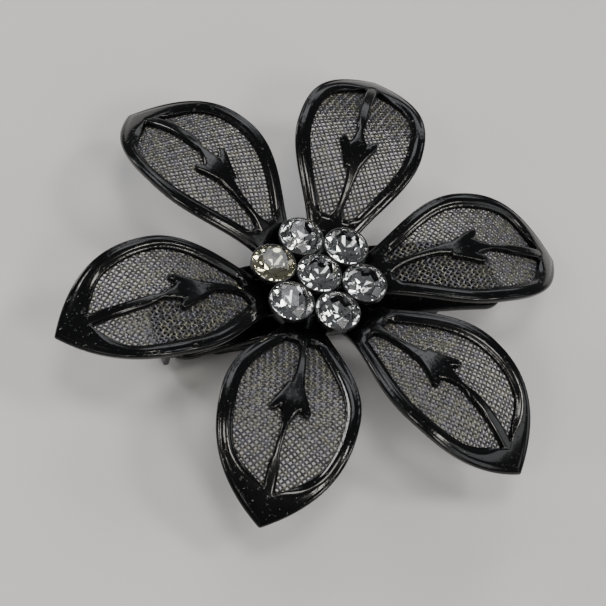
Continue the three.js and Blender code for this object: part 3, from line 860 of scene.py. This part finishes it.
def ribbon(place, path, half, top, edge_drop, shoulder):
    """A flat-topped bar laid on the blade along a path of (along, across) points, square to the path:
    its half-width and top at each point; the top falls by edge_drop over the outer shoulder share."""
    along = unit(np.gradient(path, axis=0))
    face_steps, back_steps = 17, 9
    share = np.concatenate([np.linspace(-1, 1, face_steps), np.linspace(1, -1, back_steps)])
    upper = np.arange(len(share)) < face_steps
    fall = edge_drop * np.clip((np.abs(share) - (1 - shoulder)) / shoulder, 0, 1) ** 2
    flat_s = path[:, :1] - along[:, 1:] * half[:, None] * share
    flat_w = path[:, 1:] + along[:, :1] * half[:, None] * share
    above = np.where(upper, top[:, None] - fall, -PETAL_HALF_THICK + 0 * flat_s)
    return tube(place(flat_s, flat_w, above))


def rib_line(crest, bend, neck):
    """The midrib's path and half-width: broad at the root, slim to the crest's body, which swells, then
    a slim neck and broad again from the neck's end to the tip. It bends sideways as a product of two
    sines, nought at the root, the crest and the tip."""
    key = np.array(
        [
            (0.3, 1.5), (WINDOW_START - 0.2, 1.1), (WINDOW_START + 0.5, 0.7),
            (WINDOW_START + 1.4, 0.5), (crest - 9.0, 0.46), (crest - 5.5, 0.6),
            (crest - 3.4, 0.95), (crest - 1.8, 1.5), (crest - 0.5, 1.7), (crest + 0.3, 1.1),
            (crest + 0.9, 0.8), (crest + 1.7, 0.62), (crest + 2.2, 0.4), (crest + neck, 0.42),
            (crest + neck + 0.7, 0.68), (PETAL_LENGTH - 4.0, 0.82), (PETAL_LENGTH - 1.3, 1.1),
        ]
    )
    along = np.arange(0.3, PETAL_LENGTH - 1.3, 0.15)
    half = np.interp(along, key[:, 0], key[:, 1])
    half = np.convolve(np.pad(half, 2, "edge"), (0.1, 0.2, 0.4, 0.2, 0.1), "valid")
    sway = np.sin(np.pi * along / PETAL_LENGTH) * np.sin(2 * np.pi * (along - crest) / PETAL_LENGTH)
    return np.stack([along, bend * sway], 1), half


CREST_TOP = 0.47
NECK_TOP, CREST_RISE = 0.4, 0.07
PRONG_ROOT, PRONG_BEND, PRONG_END = (-3.4, 0.2), (-1.6, 1.0), (0.7, 2.4)
PRONG_HALF, PRONG_TAPER, PRONG_ROUND = 0.95, 0.42, 0.14
SOLE_INSET, SOLE_DROP, SOLE_FALL_RUN = 0.85, 0.25, 0.7


def prong(place, crest, side):
    """One side prong of the crest: a bar that leaves the rib's body, curves outwards as a quadratic,
    tapers evenly and ends in half an ellipse."""
    share = np.linspace(0, 1, 34)
    corners = np.array([PRONG_ROOT, PRONG_BEND, PRONG_END]) + (crest, 0)
    path = quadratic(*corners * (1, side), share[:, None])
    past = np.clip((share - (1 - PRONG_ROUND)) / PRONG_ROUND, 0, 1)
    half = (PRONG_HALF - PRONG_TAPER * share) * np.sqrt(np.clip(1 - past**2, 0.02, 1))
    return ribbon(place, path, half, np.full(len(path), CREST_TOP), edge_drop=0.22, shoulder=0.45)


def root_sole(place):
    """The solid root between the rim's two sides: a bar inset from the outline whose top eases down to
    where the window starts."""
    along = np.linspace(-0.3, WINDOW_START, 16)
    half = np.interp(along, HALF_OUTLINE[:, 0], HALF_OUTLINE[:, 1]) - SOLE_INSET
    top = CREST_TOP - SOLE_DROP * smooth_step((along - WINDOW_START + SOLE_FALL_RUN) / SOLE_FALL_RUN)
    return ribbon(place, np.stack([along, 0 * along], 1), half, top, edge_drop=0.04, shoulder=0.3)


def root_tab(place):
    """The flat tab between disc and cups: it widens at TAB_ANGLE either side of its middle line and
    then runs straight out to the petal's root."""
    spread = math.tan(math.radians(TAB_ANGLE))
    low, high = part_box("backing_disc")[1].z / MM + SEAT_GAP, CUP_FOOT_Z - SEAT_GAP
    outer = place(np.array([TAB_OVERLAP]), 0.0, 0.0)[0, 0]
    wedge = [
        (TAB_INNER, -TAB_INNER * spread), (TAB_HALF / spread, -TAB_HALF), (outer, -TAB_HALF),
        (outer, TAB_HALF), (TAB_HALF / spread, TAB_HALF), (TAB_INNER, TAB_INNER * spread),
    ]
    return slab(eased(wedge, 0.3), low, high, 0.12, lying)


def petal_shells(place, crest, bend, neck, unevenness):
    """A petal frame's shells: rim, rib, sole, tab and the crest's two side prongs. The rib is as high
    as the prongs up to the crest and eases down to NECK_TOP beyond it."""
    path, half = rib_line(crest, bend, neck)
    inner = smooth_step((crest + 1.5 - path[:, 0]) / 1.5)
    rib = ribbon(place, path, half, NECK_TOP + CREST_RISE * inner, edge_drop=0.24, shoulder=0.5)
    prongs = [prong(place, crest, side) for side in (-1, 1)]
    return [rim_shell(place, unevenness), rib, root_sole(place), root_tab(place), *prongs]


WIRE_SIDES = 6
TICKS_PER_PITCH = 4
GAUZE_TIP_GAP = 1.2
WEAVE_SHARE = 0.85
WIRE_STRAY = 0.05


def woven_gauze(place, slant):
    """Square weave under the frame: two families of straight wires a pitch apart, turned by slant.
    Each wire strays a little from its even place, weaves as a cosine of the distance along it, in turn
    above and below its neighbours, and is drawn as a six-sided tube that closes to a point where it
    leaves the petal's inset outline."""
    inner_s, inner_w = HALF_OUTLINE.T
    step = GAUZE_PITCH / TICKS_PER_PITCH
    count = int(PETAL_LENGTH * 0.75 / GAUZE_PITCH)
    lines = np.arange(-count, count + 1)
    ticks = np.arange(-TICKS_PER_PITCH * count, TICKS_PER_PITCH * count + 1)
    angle = np.linspace(0, 2 * math.pi, WIRE_SIDES, endpoint=False)
    around = np.arange(WIRE_SIDES)[None, :]
    beyond = (around + 1) % WIRE_SIDES
    shells = []
    for family in (0, 1):
        turn = math.radians(slant + 90.0 * family)
        direction = np.array([math.cos(turn), math.sin(turn)])
        sideways = np.array([-math.sin(turn), math.cos(turn)])
        offset = lines * GAUZE_PITCH + WIRE_STRAY * np.sin(lines * 1.7 + 2.0 * family)
        flat = (
            np.array([PETAL_LENGTH / 2, 0.0])
            + ticks[None, :, None] * step * direction
            + offset[:, None, None] * sideways
        )
        s, w = flat[..., 0], flat[..., 1]
        inside = np.abs(w) < np.interp(s, inner_s, inner_w) - GAUZE_INSET
        inside &= (s > GAUZE_START) & (s < PETAL_LENGTH - GAUZE_TIP_GAP)
        parity = np.where((lines[:, None] + family) % 2 == 0, 1.0, -1.0)
        weave = parity * np.cos(ticks * math.pi / TICKS_PER_PITCH) * WIRE_R * WEAVE_SHARE
        centre = place(s, w, -GAUZE_DEPTH + weave)
        along = unit(np.gradient(centre, axis=1), 1e-12)
        beside = unit(np.cross(along, place(s, w, 1.0 - GAUZE_DEPTH + weave) - centre))
        above = np.cross(beside, along)
        out = beside[..., None, :] * np.cos(angle)[:, None]
        up = above[..., None, :] * np.sin(angle)[:, None]
        radius = np.where(inside, WIRE_R, 0.0)[..., None, None]
        table = centre[..., None, :] + radius * (out + up)
        wire, tick = np.nonzero(inside[:, :-1] | inside[:, 1:])
        here = ((wire * len(ticks) + tick) * WIRE_SIDES)[:, None]
        ahead = here + WIRE_SIDES
        corners = (here + around, here + beyond, ahead + beyond, ahead + around)
        quads = np.stack(corners, -1).reshape(-1, 4)
        used, fresh = np.unique(quads, return_inverse=True)
        shells.append((table.reshape(-1, 3)[used], fresh.reshape(-1, 4).tolist()))
    return shells


def set_petals():
    """The six petals, each made along +X and turned to its bearing."""
    for k, (bearing, lift, crest, bend, neck, slant) in enumerate(PETALS, start=1):
        place = blade(lift)
        shells = petal_shells(place, crest, bend, neck, 0.05 + 0.006 * k)
        make(f"enamel_petal_{k}", shells, ENAMEL, [f"petal_frame_{k}"], grain=0.1,
             passes=6, turn=bearing)
        make(f"gauze_panel_{k}", woven_gauze(place, slant), GAUZE, [f"petal_gauze_{k}"],
             turn=bearing, crease=70.0)


# ---- disc and rivets ----
def box_heights(node):
    """Lowest and highest of a CAD node."""
    low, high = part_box(node)
    return low.z / MM, high.z / MM


def make_disc():
    """The backing disc: a flat ring with eased edges."""
    low, high = box_heights("backing_disc")
    profile = [(RIVET_HOLE_R, low), (DISC_R, low), (DISC_R, high), (RIVET_HOLE_R, high)]
    make("backing_disc_pressed", [turned_ring(profile, 128, 0.22)], BLACK_STEEL, ["backing_disc"])


def make_centre_rivet():
    """The turned rivet that holds disc and plate: a tail with a sloped edge, a shank, a collar and a
    flat head."""
    low, high = box_heights("centre_rivet")
    disc_low, disc_high = box_heights("backing_disc")
    collar_low = under(0.0) + PLATE_THICK + SEAT_GAP
    shank, head, collar, tail, tail_thick = 1.1, 1.4, 2.2, 1.8, 0.5
    profile = [
        (0.0, low), (1.0, low), (tail - 0.1, low + 0.2), (tail, low + tail_thick),
        (shank, low + tail_thick), (shank, collar_low), (collar, collar_low),
        (collar, disc_low - SEAT_GAP), (shank, disc_low - SEAT_GAP), (shank, disc_high + SEAT_GAP),
        (head, disc_high + SEAT_GAP), (head, high), (0.0, high),
    ]
    make("centre_rivet_turned", [turned(profile, 72, 0.12)], BARE_STEEL, ["centre_rivet"])


# ---- barrette ----
def under(x):
    """Height of the plate's underside at a distance from its middle: a circular arch."""
    return PLATE_END_Z + PLATE_RISE - (PLATE_RADIUS - np.sqrt(PLATE_RADIUS**2 - np.asarray(x, float) ** 2))


def arched(x, above):
    """Points (x, z) at a height above the plate's underside."""
    return np.stack([x, under(x) + above], 1)


def corner_width(x, half_length, half_width, radius):
    """Half-width of a strip whose corners are rounded: within a radius of an end it follows a quarter
    circle."""
    inset = np.clip(radius - (half_length - np.abs(x)), 0, radius)
    return half_width - radius + np.sqrt(np.clip(radius**2 - inset**2, 0, None))


def ear_outline(root_low_x, root_high_x, root_z, eye_up):
    """An ear: half a circle about the pin, joined to a straight root edge."""
    angle = np.linspace(0, math.pi, 17)
    sign = 1.0 if eye_up else -1.0
    eye = np.stack([HINGE_X + EYE_R * np.cos(angle), HINGE_Z + sign * EYE_R * np.sin(angle)], 1)
    return np.concatenate([[(root_low_x, root_z), (root_high_x, root_z)], eye])


def rectangle(low_a, high_a, low_b, high_b):
    """Four corners, anticlockwise where each low is below its high."""
    return [(low_a, low_b), (high_a, low_b), (high_a, high_b), (low_a, high_b)]


def pin_bore(half_length):
    """A rod along Y about the hinge, that bores the pin's hole."""
    return slab(circle(HINGE_X, HINGE_Z, PIN_HOLE, 40), -half_length, half_length, 0.0, upright)


def rivet_bore(x, y, radius):
    """A rod along Z, longer than the clip is high, that bores a rivet's hole."""
    return slab(circle(x, y, radius, 40), 0, 12, 0.0, lying)


LATCH_RIVET_X = -20.3
LATCH_HOLE_R = 0.88
JAW_START, JAW_END = -21.85, -18.75
JAW_INNER, JAW_OUTER = 1.5, 2.0
WINDOW_HALF = 2.15
PLATE_EAR = ARM_HALF + EAR_GAP
BOW_THICK = 0.35
LATCH_THICK = 0.5
HOOK_PAST_WINDOW = 0.34
PAD_SHORT = 1.8
ROOT_BACK = 0.4


def make_plate():
    """The arched plate: a wide strip on the arch with rounded corners, two ears, a pin hole through
    them and two rivet holes."""
    spacing = 0.4
    x = -PLATE_HALF + 0.02 + PLATE_CORNER * np.linspace(0, 1, 24) ** 2
    x = np.concatenate([x, np.arange(x[-1] + spacing, 0, spacing)])
    x = np.concatenate([x, [0.0], -x[::-1]])
    wide = corner_width(x, PLATE_HALF, PLATE_WIDE, PLATE_CORNER)
    shells = [strip(arched(x, PLATE_THICK / 2), wide, PLATE_THICK / 2, 0.3)]
    root = float(under(HINGE_X)) + PLATE_THICK / 2
    inner_foot, outer_foot = 2.2, 1.4
    outline = ear_outline(HINGE_X - inner_foot, HINGE_X + outer_foot, root, False)
    for sign in (-1, 1):
        faces = sorted((sign * PLATE_EAR, sign * (PLATE_EAR + EAR_THICK)))
        shells.append(slab(outline, *faces, 0.12, upright))
    cutters = [
        pin_bore(PLATE_WIDE + 1),
        rivet_bore(-CLIP[0], -CLIP[1], RIVET_HOLE_R),
        rivet_bore(LATCH_RIVET_X, 0, LATCH_HOLE_R),
    ]
    make("arched_plate", shells, PLATE_ENAMEL, ["barrette_plate"], grain=0.14, passes=4,
         cutters=cutters, shift=CLIP)


def make_hinge_pin():
    """Hinge pin along Y: a plain shank with both ends peened into low domes."""
    half = PLATE_EAR + EAR_THICK + 0.3
    dome_r, dome = 0.34, 0.14
    profile = [
        (0.0, -half), (dome_r, -half), (PIN_R, -half + dome), (PIN_R, half - dome), (dome_r, half),
        (0.0, half),
    ]
    points, faces = turned(profile, 48, 0.12)
    points = points[:, [0, 2, 1]] + (HINGE_X, 0, HINGE_Z)
    make("hinge_pin_peened", [(points, faces)], BARE_STEEL, ["hinge_pin"], shift=CLIP)


def make_clasp_arm():
    """The clasp arm: a flat strip that steps up to its latched end, with a window there and two ears."""
    end_bar, window_long, step_run, corner = 0.9, 3.4, 2.0, 0.6
    window_low, window_high = ARM_END + end_bar, ARM_END + end_bar + window_long
    step_top = window_high + 0.8
    root = HINGE_X - ROOT_BACK
    even = np.linspace(ARM_END + 0.01, root - 0.01, 190)
    x = np.unique(np.concatenate([even, ARM_END + np.linspace(0.02, corner, 9)]))
    z = ARM_THICK / 2 + ARM_STEP * smooth_step((step_top + step_run - x) / step_run)
    middle, half_length = (ARM_END + root) / 2, (root - ARM_END) / 2
    wide = corner_width(x - middle, half_length, ARM_HALF, corner)
    shells = [strip(np.stack([x, z], 1), wide, ARM_THICK / 2, 0.2)]
    ear_foot = 4.2
    outline = ear_outline(root - ear_foot, root, ARM_THICK / 2, True)
    for sign in (-1, 1):
        faces = sorted((sign * ARM_HALF, sign * (ARM_HALF - EAR_THICK)))
        shells.append(slab(outline, *faces, 0.12, upright))
    window = rectangle(window_low, window_high, -WINDOW_HALF, WINDOW_HALF)
    cutters = [pin_bore(ARM_HALF + 1), slab(eased(window, 0.25), -1, 4, 0.0, lying)]
    make("clasp_arm_strip", shells, BLACK_STEEL, ["clasp_arm"], body="clasp_arm",
         grain=0.12, passes=4, cutters=cutters, shift=CLIP)


def make_spring_bow():
    """The spring bow: a thin strip whose middle sags as a parabola towards the arm between two ends
    that lie against the plate's underside."""
    thick, lip, clear, pressed = BOW_THICK, 2.4, 0.4, 1.6
    side_room, past_hinge, past_jaw = 0.2, 0.9, 1.5
    bow_half = ARM_HALF - EAR_THICK - side_room
    hinge_end, latch_end = HINGE_X + past_hinge, JAW_END + past_jaw
    sagging_from, sagging_to = latch_end + lip, hinge_end - lip
    middle, reach = (sagging_from + sagging_to) / 2, (sagging_to - sagging_from) / 2
    lowest = ARM_THICK + clear + thick / 2
    x = np.linspace(latch_end, hinge_end, 160)
    lip_middle = SEAT_GAP + thick / 2
    held = under(np.where(x < middle, sagging_from, sagging_to)) - lip_middle
    sag = lowest + (held - lowest) * np.clip(np.abs((x - middle) / reach), 0, 1) ** 2
    z = np.where((x < sagging_from) | (x > sagging_to), under(x) - lip_middle, sag)
    z = np.convolve(np.pad(z, 4, "reflect", reflect_type="odd"), np.ones(9) / 9, "valid")
    wide = corner_width(x - (latch_end + hinge_end) / 2, (hinge_end - latch_end) / 2 + 0.01, bow_half, 1.2)
    bent = strip(np.stack([x, z], 1), wide, thick / 2, 0.12)
    bow = make("spring_bow_strip", [bent], SPRING_STEEL, ["spring_bow"], shift=CLIP)
    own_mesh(bow)


def make_latch():
    """The latch: a base riveted under the plate and two jaws that hang through the arm's window, each
    with a hook below a rail and a finger pad beyond the arm's end."""
    bow_room = BOW_THICK + 2 * SEAT_GAP
    base_reach, step_gap, step_run = 3.6, 0.8, 0.5
    x = np.linspace(ARM_END, JAW_END + base_reach, 60)
    below = bow_room * smooth_step((x - JAW_END - step_gap) / step_run)
    path = arched(x, -SEAT_GAP - LATCH_THICK / 2 - below)
    wide = corner_width(x - x.mean(), (x[-1] - x[0]) / 2 + 0.01, JAW_OUTER, 0.4)
    make("latch_base_strip", [strip(path, wide, LATCH_THICK / 2, 0.1)], SPRING_STEEL, ["latch_base"],
         cutters=[rivet_bore(LATCH_RIVET_X, 0, LATCH_HOLE_R)], shift=CLIP, grain=0.08)
    jaw_top = float(under(ARM_END)) - LATCH_THICK - 2 * SEAT_GAP
    end_room, pad_long, hook_thick = 0.15, 0.8, 0.6
    pad_x, pad_end = ARM_END - end_room - pad_long, ARM_END - end_room
    bar_top = ARM_STEP + ARM_THICK + end_room
    hook_top = ARM_STEP - SEAT_GAP
    hook_low = hook_top - hook_thick
    leg = [(pad_x, bar_top), (JAW_START, bar_top), (JAW_START, hook_low), (JAW_END, hook_low),
           (JAW_END, jaw_top), (pad_x, jaw_top)]
    pad_tip = PLATE_WIDE - PAD_SHORT
    for sign, label in ((-1, "front"), (1, "back")):
        inner, outer = sign * JAW_INNER, sign * JAW_OUTER
        hook = rectangle(JAW_START, JAW_END, inner, sign * (WINDOW_HALF + HOOK_PAST_WINDOW))
        pad = rectangle(pad_x, pad_end, inner, sign * pad_tip)
        shells = [
            slab(eased(leg, 0.15), *sorted((inner, outer)), 0.08, upright),
            slab(eased(hook, 0.12), hook_low, hook_top, 0.1, lying),
            slab(eased(pad, 0.25), hook_top, jaw_top, 0.15, lying),
        ]
        make(f"latch_jaw_{label}_bent", shells, SPRING_STEEL, [f"latch_jaw_{label}"],
             body=f"latch_jaw_{label}", grain=0.07, shift=CLIP)


def make_latch_rivet():
    """The rivet that holds the latch's base under the plate: a flat tail, a shank and a domed head."""
    low, high = box_heights("latch_rivet")
    shank, head = 0.8, 1.3
    top = float(under(LATCH_RIVET_X + head)) + PLATE_THICK + SEAT_GAP
    tail = low + 0.3
    profile = [
        (0.0, low), (shank, low), (head, low + 0.16), (head, tail), (shank, tail), (shank, top),
        (head, top), (0.75 * head, high - 0.1), (0.0, high),
    ]
    make("latch_rivet_domed", [turned(profile, 64, 0.14)], BLACK_STEEL, ["latch_rivet"],
         shift=CLIP + (LATCH_RIVET_X, 0, 0))


# ---- camera, light and floor ----
CAMERA_AT = Vector((-82.0, -115.99, GIRDLE_Z + 186.53)) * MM
CAMERA_RIGHT = Vector((0.92871, -0.30910, 0.20484))
CAMERA_UP = Vector((0.15014, 0.81855, 0.55447))
SENSOR = 36.0
FIELD = 18.77


def set_camera():
    """The camera, square to its right and up directions, with its field in degrees across."""
    data = bpy.data.cameras.new("camera")
    data.sensor_width = SENSOR
    data.lens = SENSOR / 2 / math.tan(math.radians(FIELD / 2))
    data.clip_start, data.clip_end = 0.01, 20
    camera = bpy.data.objects.new("camera", data)
    bpy.context.scene.collection.objects.link(camera)
    back = CAMERA_RIGHT.cross(CAMERA_UP)
    turn = Matrix((CAMERA_RIGHT, CAMERA_UP, back)).transposed().to_4x4()
    camera.matrix_world = Matrix.Translation(CAMERA_AT) @ turn
    bpy.context.scene.camera = camera


LIGHT_DISTANCE = 0.8
COOL, NEUTRAL, WARM = (0.96, 0.98, 1.0), (1.0, 0.98, 0.95), (1.0, 0.97, 0.89)
# for each light: its direction from the flower, width and height in metres, power in watts, tint
LIGHTS = {
    "window_light": ((0.162, 0.649, 0.743), 0.34, 0.28, 1.0, COOL),
    "low_window": ((0.45, 0.78, 0.44), 0.6, 0.2, 0.75, COOL),
    "key_light": ((-0.52, 0.74, 0.43), 0.2, 0.2, 2.1, (1.0, 0.985, 0.96)),
    "left_panel": ((-0.80, -0.10, 0.60), 0.36, 0.36, 0.6, (1.0, 0.98, 0.94)),
    "right_panel": ((0.80, -0.30, 0.55), 0.36, 0.36, 0.7, (0.97, 0.98, 1.0)),
    "front_panel": ((0.20, -0.80, 0.55), 0.34, 0.3, 0.9, NEUTRAL),
    "left_spark": ((-0.60, -0.36, 0.72), 0.12, 0.12, 0.9, WARM),
    "front_spark": ((0.02, -0.66, 0.75), 0.15, 0.15, 1.5, WARM),
    "top_spark": ((-0.12, -0.1, 0.99), 0.2, 0.2, 1.8, WARM),
    "right_spark": ((0.45, -0.25, 0.86), 0.15, 0.15, 1.5, WARM),
}
WORLD_TINT, WORLD_STRENGTH = (0.97, 0.98, 1.0, 1.0), 0.11
FLOOR_GREY = (0.62, 0.61, 0.62, 1.0)


def set_lights():
    """Area lights that face the flower, and the even light of the room."""
    for name, (direction, width, height, power, tint) in LIGHTS.items():
        data = bpy.data.lights.new(name, "AREA")
        data.shape = "RECTANGLE"
        data.size, data.size_y = width, height
        data.energy, data.color = power, tint
        light = bpy.data.objects.new(name, data)
        bpy.context.scene.collection.objects.link(light)
        away = Vector(direction).normalized()
        light.location = away * LIGHT_DISTANCE + Vector((0, 0, GIRDLE_Z * MM))
        light.rotation_euler = away.to_track_quat("Z", "Y").to_euler()
    world = bpy.data.worlds.new("studio")
    world.use_nodes = True
    room = world.node_tree.nodes["Background"].inputs
    room["Color"].default_value = WORLD_TINT
    room["Strength"].default_value = WORLD_STRENGTH
    bpy.context.scene.world = world


def set_floor():
    """A pale floor three metres square at height 0."""
    corners = [(a, b, 0.0) for a, b in rectangle(-1.5, 1.5, -1.5, 1.5)]
    mesh = bpy.data.meshes.new("floor")
    mesh.from_pydata(corners, [], [[0, 1, 2, 3]])
    floor = bpy.data.objects.new("floor", mesh)
    bpy.context.scene.collection.objects.link(floor)
    material = new_material("pale_floor", Roughness=0.75, Base_Color=FLOOR_GREY)[0]
    mesh.materials.append(material)


set_camera()
set_lights()
set_floor()
set_stones()
set_petals()
make_disc()
make_centre_rivet()
make_plate()
make_hinge_pin()
make_clasp_arm()
make_spring_bow()
make_latch()
make_latch_rivet()
